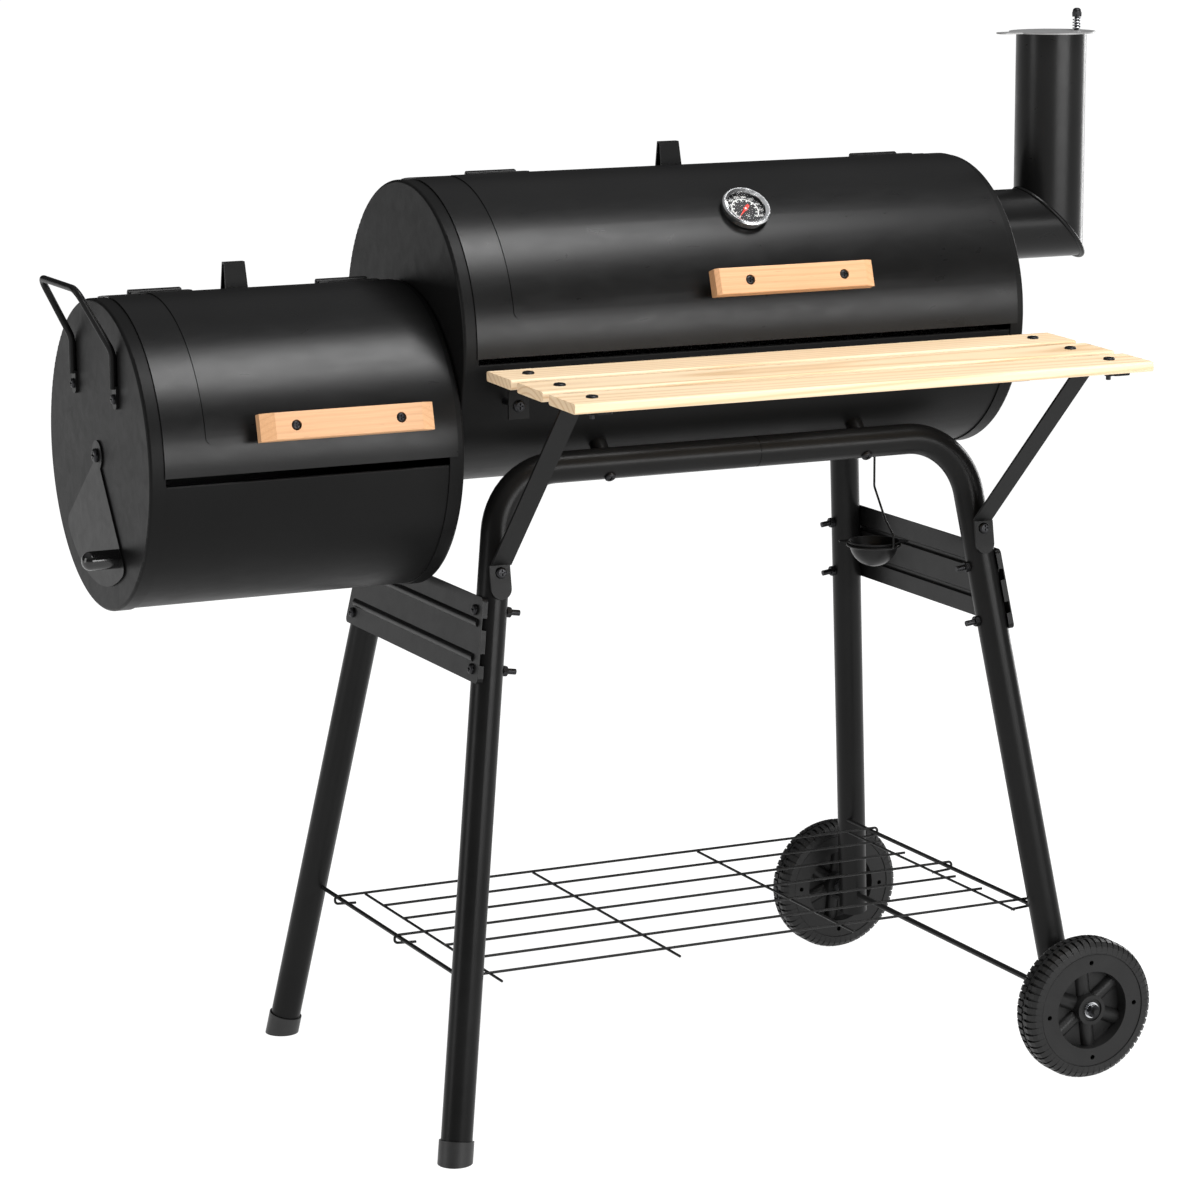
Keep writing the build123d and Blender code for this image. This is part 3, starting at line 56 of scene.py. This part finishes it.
class Finish:
    """A node material around one Principled shader, built in object coordinates (metres)."""

    def __init__(self, name, **sockets):
        self.mat = bpy.data.materials.new(name)
        self.mat.use_nodes = True
        self.tree = self.mat.node_tree
        self.tree.nodes.clear()
        out = self.add("ShaderNodeOutputMaterial")
        self.shader = self.add("ShaderNodeBsdfPrincipled")
        self.join(self.shader.outputs["BSDF"], out.inputs["Surface"])
        self.place = self.add("ShaderNodeTexCoord").outputs["Object"]
        for socket, value in sockets.items():
            self.shader.inputs[socket.replace("_", " ")].default_value = value

    def add(self, kind, **props):
        node = self.tree.nodes.new(kind)
        for key, value in props.items():
            setattr(node, key, value)
        return node

    def join(self, source, target):
        self.tree.links.new(source, target)

    def mapped(self, scale=(1, 1, 1), offset=(0, 0, 0), turn=(0, 0, 0)):
        node = self.add("ShaderNodeMapping")
        node.inputs["Location"].default_value = offset
        node.inputs["Rotation"].default_value = turn
        node.inputs["Scale"].default_value = scale
        self.join(self.place, node.inputs["Vector"])
        return node.outputs["Vector"]

    def noise(self, scale, detail=3.0, rough=0.5, source=None, warp=0.0):
        node = self.add("ShaderNodeTexNoise")
        node.inputs["Scale"].default_value = scale
        node.inputs["Detail"].default_value = detail
        node.inputs["Roughness"].default_value = rough
        node.inputs["Distortion"].default_value = warp
        self.join(source or self.place, node.inputs["Vector"])
        return node.outputs["Fac"]

    def ramp(self, source, *stops):
        """Maps 0..1 through (position, value or colour) stops."""
        node = self.add("ShaderNodeValToRGB")
        elements = node.color_ramp.elements
        while len(elements) < len(stops):
            elements.new(0.5)
        for element, (at, value) in zip(elements, stops):
            element.position = at
            rgb = value if isinstance(value, tuple) else (value, value, value)
            element.color = (*rgb, 1)
        self.join(source, node.inputs["Fac"])
        return node.outputs["Color"]

    def math(self, op, a, b):
        node = self.add("ShaderNodeMath", operation=op)
        for socket, value in zip(node.inputs, (a, b)):
            if isinstance(value, (int, float)):
                socket.default_value = value
            else:
                self.join(value, socket)
        return node.outputs["Value"]

    def mix(self, factor, a, b, blend="MIX"):
        node = self.add("ShaderNodeMix", data_type="RGBA", blend_type=blend)
        factor_socket, a_socket, b_socket = node.inputs[0], node.inputs[6], node.inputs[7]
        for socket, value in ((factor_socket, factor), (a_socket, a), (b_socket, b)):
            if isinstance(value, tuple):
                socket.default_value = (*value, 1)
            elif isinstance(value, (int, float)):
                socket.default_value = value
            else:
                self.join(value, socket)
        return node.outputs[2]

    def bump(self, height, strength, distance, below=None):
        node = self.add("ShaderNodeBump")
        node.inputs["Strength"].default_value = strength
        node.inputs["Distance"].default_value = distance
        self.join(height, node.inputs["Height"])
        if below is not None:
            self.join(below, node.inputs["Normal"])
        return node.outputs["Normal"]

    def wire(self, colour=None, rough=None, normal=None, metal=None):
        targets = (("Base Color", colour), ("Roughness", rough), ("Normal", normal), ("Metallic", metal))
        for socket, value in targets:
            if value is not None:
                self.join(value, self.shader.inputs[socket])
        return self.mat


def paint(name, dark, light, rough, peel=0.2, specular=0.18):
    """Baked black enamel: faint mottling, orange peel, slightly wavy sheet and a little dust."""
    f = Finish(name, Specular_IOR_Level=specular)
    cloud = f.noise(5, 3, 0.5)
    speck = f.noise(900, 2, 0.6)
    colour = f.mix(f.ramp(cloud, (0.35, 0.0), (0.7, 1.0)), (dark,) * 3, (light,) * 3)
    dust = f.ramp(speck, (0.7, 0.0), (0.8, 0.25))
    colour = f.mix(dust, colour, (light * 3, light * 3, light * 2.9))
    smear = f.noise(26, 5, 0.6, f.mapped((1, 2.4, 2.4)), 0.6)
    roughness = f.ramp(smear, (0.3, rough - 0.03), (0.72, rough + 0.04))
    wave = f.bump(f.noise(9, 2, 0.4), 0.25, 0.0012)
    grain = f.bump(f.noise(520, 2, 0.5), peel, 0.00012, wave)
    return f.wire(colour, roughness, grain)


WAVE_PER_METRE = 0.314   # scale at which a ring texture repeats once a metre


def wood(name, tones, pith, ring, fibre=1.0, rough=0.5, late_share=0.62):
    """Planed wood: growth rings, ring metres apart, round a distant pith, with fibres and flecks."""
    pale, mid, line = tones
    f = Finish(name, Specular_IOR_Level=0.4)
    drift = f.noise(2.2, 2, 0.5, f.mapped((0.9, 3, 3), pith))
    tilt = f.mapped((0.25, 1, 1), pith, (0, 0.03, 0.06))
    warp = f.add("ShaderNodeVectorMath", operation="MULTIPLY_ADD")
    f.join(drift, warp.inputs[0])
    warp.inputs[1].default_value = (0, 0.02, 0.02)
    f.join(tilt, warp.inputs[2])
    rings = f.add("ShaderNodeTexWave", wave_type="RINGS", rings_direction="X", wave_profile="SIN")
    rings.inputs["Scale"].default_value = WAVE_PER_METRE / ring
    rings.inputs["Distortion"].default_value = 1.3
    rings.inputs["Detail"].default_value = 2.0
    rings.inputs["Detail Scale"].default_value = 0.35
    f.join(warp.outputs["Vector"], rings.inputs["Vector"])
    late = f.ramp(rings.outputs["Fac"], (0.5, 0.0), (0.86, 0.55), (0.98, 1.0))
    fibres = f.noise(1, 3, 0.6, f.mapped((14, 1400, 1400), pith))
    flecks = f.noise(1, 1, 0.5, f.mapped((55, 900, 900), pith))
    broad = f.noise(5, 3, 0.5, f.mapped((0.6, 3, 3), pith))
    colour = f.mix(f.ramp(broad, (0.3, 0.0), (0.75, 1.0)), pale, mid)
    colour = f.mix(f.math("MULTIPLY", late, late_share), colour, line)
    streak = f.ramp(fibres, (0.36, 0.0), (0.72, 0.22 * fibre))
    colour = f.mix(streak, colour, tuple(c * 0.72 for c in line))
    fleck = f.ramp(flecks, (0.7, 0.0), (0.8, 0.3 * fibre))
    colour = f.mix(fleck, colour, tuple(c * 0.6 for c in line))
    roughness = f.ramp(late, (0.0, rough + 0.06), (1.0, rough - 0.06))
    normal = f.bump(fibres, 0.3, 0.00012)
    normal = f.bump(late, 0.2, 0.00015, normal)
    return f.wire(colour, roughness, normal)


def plastic(name, dark, light, rough, grain=420, depth=0.35, specular=0.4):
    """Moulded plastic with a fine spark-eroded grain and slight flow marks."""
    f = Finish(name, Specular_IOR_Level=specular)
    flow = f.noise(14, 3, 0.5, warp=0.8)
    colour = f.mix(f.ramp(flow, (0.3, 0.0), (0.7, 1.0)), (dark,) * 3, (light,) * 3)
    roughness = f.ramp(f.noise(60, 3, 0.6), (0.3, rough - 0.06), (0.7, rough + 0.06))
    normal = f.bump(f.noise(grain, 3, 0.6), depth, 0.00018)
    return f.wire(colour, roughness, normal)


def metal(name, tone, rough, stretch=(1, 1, 1), scale=260):
    """Bare or plated metal with fine marks and cloudy patches in its gloss."""
    f = Finish(name, Metallic=1.0)
    patch = f.noise(45, 4, 0.6)
    dim = tuple(c * 0.8 for c in tone)
    colour = f.mix(f.ramp(patch, (0.3, 0.0), (0.7, 1.0)), tone, dim)
    marks = f.noise(scale, 3, 0.65, f.mapped(stretch))
    roughness = f.ramp(marks, (0.3, rough * 0.7), (0.7, rough * 1.35))
    return f.wire(colour, roughness, f.bump(marks, 0.12, 0.00006))


def axle_hardware(name):
    """Plated washers under blackened nuts: the nuts sit farther out along the axle."""
    f = Finish(name, Metallic=1.0)
    axes = f.add("ShaderNodeSeparateXYZ")
    f.join(f.place, axes.inputs[0])
    reach = f.math("ABSOLUTE", f.math("SUBTRACT", axes.outputs["Y"], MAIN_CAP.y), 0.0)
    is_nut = f.math("GREATER_THAN", reach, NUT_SEAT_Y)
    patch = f.ramp(f.noise(60, 4, 0.6), (0.3, 0.0), (0.7, 1.0))
    plate = f.mix(patch, (0.72, 0.73, 0.75), (0.55, 0.56, 0.58))
    oxide = f.mix(patch, (0.035, 0.035, 0.037), (0.022, 0.022, 0.024))
    marks = f.noise(300, 3, 0.6)
    plate_rough = f.ramp(marks, (0.3, 0.2), (0.7, 0.34))
    oxide_rough = f.ramp(marks, (0.3, 0.36), (0.7, 0.5))
    roughness = f.mix(is_nut, plate_rough, oxide_rough)
    return f.wire(f.mix(is_nut, plate, oxide), roughness, f.bump(marks, 0.12, 0.00006))


def clear_glass(name):
    """Thin gauge glass, with faint smears in its gloss."""
    tint = (0.97, 0.99, 0.99, 1)
    f = Finish(name, Transmission_Weight=1.0, IOR=1.45, Base_Color=tint, Alpha=0.06)
    roughness = f.ramp(f.noise(90, 3, 0.6, warp=0.5), (0.4, 0.01), (0.8, 0.06))
    return f.wire(rough=roughness)


def printed(name, tone, rough=0.6):
    """Flat ink with a slightly uneven lay-down."""
    f = Finish(name, Specular_IOR_Level=0.3)
    patch = f.noise(900, 3, 0.6)
    colour = f.mix(f.ramp(patch, (0.35, 0.0), (0.75, 1.0)), tone, tuple(c * 0.86 for c in tone))
    roughness = f.ramp(f.noise(300, 2, 0.5), (0.3, rough - 0.05), (0.7, rough + 0.08))
    return f.wire(colour, roughness, f.bump(patch, 0.1, 0.00003))


# ================================ finishes ================================

PINE = ((0.90, 0.71, 0.49), (0.85, 0.64, 0.41), (0.66, 0.42, 0.21))
BEECH = ((0.72, 0.42, 0.23), (0.65, 0.36, 0.18), (0.52, 0.26, 0.115))
FINISHES = {
    "barrel_paint": paint("barrel_enamel", 0.005, 0.007, 0.42, specular=0.09),
    "lid_paint": paint("lid_enamel", 0.005, 0.007, 0.30),
    "hardware_paint": paint("hardware_enamel", 0.005, 0.008, 0.36, specular=0.12),
    "chimney_paint": paint("chimney_enamel", 0.005, 0.008, 0.30),
    # The rain cap's light grey is partly its own grey finish and partly painted sheen: a brighter base
    # colour standing in for the bright highlight the edge-on cap catches.
    "rain_cap_paint": paint("rain_cap_grey_and_painted_sheen", 0.20, 0.24, 0.36, specular=0.5),
    "frame_paint": paint("frame_powder_coat", 0.006, 0.010, 0.32, peel=0.3, specular=0.13),
    "wire_paint": paint("wire_powder_coat", 0.008, 0.014, 0.42),
    "cup_paint": paint("cup_enamel", 0.007, 0.012, 0.32),
    "tray_enamel": paint("tray_enamel", 0.010, 0.018, 0.45),
    "black_fasteners": metal("black_oxide", (0.035, 0.035, 0.037), 0.42),
    "bright_fasteners": metal("zinc_plate", (0.62, 0.63, 0.65), 0.28),
    "bezel_chrome": metal("polished_chrome", (0.92, 0.93, 0.94), 0.2),
    "grate_steel": metal("plated_wire", (0.62, 0.61, 0.58), 0.25),
    "dial_black": printed("dial_face", (0.012, 0.012, 0.013), 0.45),
    "dial_print": printed("dial_ink", (0.86, 0.86, 0.84)),
    "needle_red": printed("needle_ink", (0.72, 0.035, 0.02), 0.4),
    "gauge_glass": clear_glass("gauge_glass"),
    "grip_plastic": plastic("phenolic_grip", 0.006, 0.009, 0.16, 200, 0.05, 0.55),
    "wheel_plastic": plastic("wheel_plastic", 0.010, 0.015, 0.44, specular=0.25),
    "foot_plastic": plastic("foot_plastic", 0.012, 0.018, 0.42),
}
WOODS = {
    "shelf_plank_rear": wood("pine_rear", PINE, (0.0, 0.07, -0.70), 0.0065),
    "shelf_plank_middle": wood("pine_middle", PINE, (0.3, 0.22, -0.73), 0.0052),
    "shelf_plank_front": wood("pine_front", PINE, (0.7, 0.24, -0.69), 0.0075),
    "main_handle_bar": wood("beech_main", BEECH, (0.1, 0.26, -0.80), 0.0042, 1.5, 0.42, 0.28),
    "firebox_handle_bar": wood("beech_firebox", BEECH, (0.5, 0.26, -0.69), 0.0046, 1.5, 0.42, 0.28),
}


def dress(piece, finish):
    piece.data.materials.clear()
    piece.data.materials.append(finish)


SPECIAL = {**WOODS, "axle_fasteners": axle_hardware("axle_hardware")}
for node_name, node in NODES.items():
    dress(node, SPECIAL.get(node_name) or FINISHES[SLOT_OF[node_name]])


# ================================ added pieces ================================

def place_mesh(name, mesh, body, slot, finish=None):
    piece = bpy.data.objects.new(name, mesh)
    bpy.context.scene.collection.objects.link(piece)
    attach(piece, body)
    dress(piece, finish or FINISHES[slot])
    return piece


def mesh_from(name, build):
    bm = bmesh.new()
    build(bm)
    bmesh.ops.recalc_face_normals(bm, faces=bm.faces)
    mesh = bpy.data.meshes.new(name)
    bm.to_mesh(mesh)
    bm.free()
    return mesh


def prism(bm, outline, z0, z1, to_world):
    """Closed prism over an outline given in the local xy plane."""
    low = [bm.verts.new(to_world @ Vector((x, y, z0))) for x, y in outline]
    high = [bm.verts.new(to_world @ Vector((x, y, z1))) for x, y in outline]
    bm.faces.new(low[::-1])
    bm.faces.new(high)
    for k in range(len(outline)):
        n = (k + 1) % len(outline)
        bm.faces.new((low[k], low[n], high[n], high[k]))


# ---- thermometer dial, in a frame on the dial: x along the barrel, y up, z outward ----
GAUGE_ANGLE = math.radians(48.0)
dial_low, dial_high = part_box("thermometer_dial")
dial_mid = (dial_low + dial_high) / 2
outward = Vector((0, -math.cos(GAUGE_ANGLE), math.sin(GAUGE_ANGLE)))
upward = Vector((0, math.sin(GAUGE_ANGLE), math.cos(GAUGE_ANGLE)))
DIAL = Matrix((
    (1, upward.x, outward.x, dial_mid.x),
    (0, upward.y, outward.y, dial_mid.y),
    (0, upward.z, outward.z, dial_mid.z),
    (0, 0, 0, 1),
))
FACE = 0.00037          # dial's front face above its middle
INK = 0.00006           # thickness of the print
SCALE_START = 225.0     # degrees, lower left
SCALE_SWEEP = 270.0     # clockwise to the lower right
MAJOR_COUNT = 10
MINOR_PER_MAJOR = 4
ARC_STEPS = 96
ARC_RADII = (0.0141, 0.0149)
MAJOR_MARK = (0.0112, 0.0145, 0.00062)    # inner radius, outer radius, half width
MINOR_MARK = (0.0132, 0.0145, 0.00020)
NUMBER_SIZE = 0.0040
NUMBER_R = 0.0174
UNIT_SIZE = 0.0042
UNIT_Y = -0.0090
FIRST_NUMBER = 50


def scale_angle(share):
    return math.radians(SCALE_START - SCALE_SWEEP * share)


def mark_outline(angle, r0, r1, half):
    c, s = math.cos(angle), math.sin(angle)
    corners = ((r0, -half), (r1, -half), (r1, half), (r0, half))
    return [(r * c - t * s, r * s + t * c) for r, t in corners]


def print_outline(bm, outline):
    prism(bm, outline, FACE, FACE + INK, DIAL)


def scale_print(bm):
    """Arc of the scale with its major and minor marks."""
    r_in, r_out = ARC_RADII
    for k in range(ARC_STEPS):
        a, b = scale_angle(k / ARC_STEPS), scale_angle((k + 1) / ARC_STEPS)
        corners = ((r_in, b), (r_out, b), (r_out, a), (r_in, a))
        print_outline(bm, [(r * math.cos(t), r * math.sin(t)) for r, t in corners])
    for k in range(MAJOR_COUNT + 1):
        print_outline(bm, mark_outline(scale_angle(k / MAJOR_COUNT), *MAJOR_MARK))
    minor = MAJOR_COUNT * MINOR_PER_MAJOR
    for k in range(minor + 1):
        print_outline(bm, mark_outline(scale_angle(k / minor), *MINOR_MARK))


place_mesh("dial_scale", mesh_from("dial_scale", scale_print), "main_lid", "dial_print")


def number_mesh(text, size, at):
    curve = bpy.data.curves.new("dial_number", "FONT")
    curve.body = text
    curve.size = size
    curve.align_x = "CENTER"
    curve.align_y = "CENTER"
    curve.extrude = INK / 2
    holder = bpy.data.objects.new("dial_number", curve)
    bpy.context.scene.collection.objects.link(holder)
    bpy.context.view_layer.update()
    graph = bpy.context.evaluated_depsgraph_get()
    mesh = bpy.data.meshes.new_from_object(holder.evaluated_get(graph))
    mesh.transform(DIAL @ Matrix.Translation((at[0], at[1], FACE + INK / 2)))
    bpy.data.objects.remove(holder)
    return mesh


def number_ring():
    """Numbers 50 to 500 round the scale, and the unit mark under the pivot."""
    joined = bmesh.new()
    for k in range(MAJOR_COUNT):
        a = scale_angle((k + 0.5) / MAJOR_COUNT)
        at = (NUMBER_R * math.cos(a), NUMBER_R * math.sin(a))
        joined.from_mesh(number_mesh(str(FIRST_NUMBER * (k + 1)), NUMBER_SIZE, at))
    joined.from_mesh(number_mesh("°C", UNIT_SIZE, (0, UNIT_Y)))
    bmesh.ops.remove_doubles(joined, verts=joined.verts, dist=1e-7)
    mesh = bpy.data.meshes.new("dial_numbers")
    joined.to_mesh(mesh)
    joined.free()
    return mesh


place_mesh("dial_numbers", number_ring(), "main_lid", "dial_print")


def turned(profile, steps, to_world):
    """Builder of a closed turned piece from (radius, height) points that start and end on the axis."""
    turns = [2 * math.pi * k / steps for k in range(steps)]

    def ring_verts(bm, r, z):
        if r == 0:
            return [bm.verts.new(to_world @ Vector((0, 0, z)))]
        points = [Vector((r * math.cos(a), r * math.sin(a), z)) for a in turns]
        return [bm.verts.new(to_world @ point) for point in points]

    def build(bm):
        rings = [ring_verts(bm, r, z) for r, z in profile]
        for low, high in zip(rings, rings[1:]):
            for k in range(steps):
                n = (k + 1) % steps
                if len(low) == 1:
                    bm.faces.new((low[0], high[k], high[n]))
                elif len(high) == 1:
                    bm.faces.new((low[k], low[n], high[0]))
                else:
                    bm.faces.new((low[k], low[n], high[n], high[k]))
    return build


def smooth(piece, angle=35.0):
    """Smooth shading that keeps edges sharper than the angle."""
    mesh = piece.data
    mesh.shade_smooth()
    bm = bmesh.new()
    bm.from_mesh(mesh)
    for edge in bm.edges:
        if len(edge.link_faces) == 2:
            edge.smooth = edge.calc_face_angle(0) < math.radians(angle)
    bm.to_mesh(mesh)
    bm.free()


NEEDLE_TOP = 0.00209    # top of the needle's boss above the dial's middle
NEEDLE_CAP = ((0, 0), (0.0013, 0), (0.0013, 0.0003), (0.0009, 0.0006), (0, 0.0007))
cap_profile = [(r, NEEDLE_TOP + z) for r, z in NEEDLE_CAP]
cap_mesh = mesh_from("needle_cap", turned(cap_profile, 24, DIAL))
smooth(place_mesh("needle_cap", cap_mesh, "needle", "dial_print"))


# ================================ stage ================================

def floor_grid(bm):
    bmesh.ops.create_grid(bm, x_segments=1, y_segments=1, size=60)


def studio_floor():
    mesh = mesh_from("studio_floor", floor_grid)
    floor = bpy.data.objects.new("studio_floor", mesh)
    bpy.context.scene.collection.objects.link(floor)
    f = Finish("studio_paper", Specular_IOR_Level=0.0, Roughness=1.0, Emission_Strength=1.0)
    f.shader.inputs["Emission Color"].default_value = (1, 1, 1, 1)
    dress(floor, f.wire(colour=f.ramp(f.noise(3, 2), (0.3, 0.15), (0.7, 0.16))))


def studio_world():
    """Soft dome: dim near the horizon, bright overhead."""
    world = bpy.data.worlds.new("studio_dome")
    bpy.context.scene.world = world
    world.use_nodes = True
    tree = world.node_tree
    back = tree.nodes["Background"]
    coord = tree.nodes.new("ShaderNodeTexCoord")
    split = tree.nodes.new("ShaderNodeSeparateXYZ")
    ramp = tree.nodes.new("ShaderNodeValToRGB")
    stops = ramp.color_ramp.elements
    stops[0].position, stops[0].color = 0.4, (0.04, 0.04, 0.041, 1)
    stops[1].position, stops[1].color = 0.95, (0.42, 0.42, 0.425, 1)
    tree.links.new(coord.outputs["Generated"], split.inputs[0])
    tree.links.new(split.outputs["Z"], ramp.inputs["Fac"])
    tree.links.new(ramp.outputs["Color"], back.inputs["Color"])
    back.inputs["Strength"].default_value = 1.0


LIT_POINT = Vector((0, 0, 0.8))


def softbox(name, azimuth, elevation, distance, width, height, radiance, roll=0.0):
    """Area light aimed at the lit point from an azimuth (0 is the front, 90 the right)."""
    a, e = math.radians(azimuth), math.radians(elevation)
    away = Vector((math.sin(a) * math.cos(e), -math.cos(a) * math.cos(e), math.sin(e)))
    data = bpy.data.lights.new(name, "AREA")
    data.shape = "RECTANGLE"
    data.size, data.size_y = width, height
    data.energy = radiance * math.pi * width * height
    lamp = bpy.data.objects.new(name, data)
    lamp.location = LIT_POINT + away * distance
    lamp.rotation_mode = "QUATERNION"
    turn = Matrix.Rotation(math.radians(roll), 3, "Z").to_quaternion()
    lamp.rotation_quaternion = away.to_track_quat("Z", "Y") @ turn
    bpy.context.scene.collection.objects.link(lamp)


studio_floor()
studio_world()
softbox("overhead_box", 28, 61, 3.2, 2.0, 1.1, 17.0, roll=28)
softbox("front_box", 18, 5, 3.4, 2.4, 0.7, 12.5)
softbox("left_box", -92, 8, 3.6, 1.2, 2.2, 4.0)
softbox("right_rim_box", 112, 8, 3.4, 0.8, 2.4, 7.0)


# ================================ camera ================================

CAMERA_FROM_CAP = Vector((-1.5371, -3.7118, 0.5219))
YAW, PITCH, ROLL = math.radians(25.24), math.radians(11.27), math.radians(-0.27)
camera_data = bpy.data.cameras.new("studio_camera")
camera_data.lens = 119.25
camera_data.sensor_width = 36.0
camera_data.shift_x = 0.005
camera_data.clip_end = 200.0
camera = bpy.data.objects.new("studio_camera", camera_data)
camera.location = MAIN_CAP + CAMERA_FROM_CAP
level = math.cos(PITCH)
forward = Vector((math.sin(YAW) * level, math.cos(YAW) * level, -math.sin(PITCH)))
tilt = Matrix.Rotation(ROLL, 3, "Z").to_quaternion()
camera.rotation_mode = "QUATERNION"
camera.rotation_quaternion = forward.to_track_quat("-Z", "Y") @ tilt
bpy.context.scene.collection.objects.link(camera)
bpy.context.scene.camera = camera
bpy.context.scene.view_settings.view_transform = "Standard"
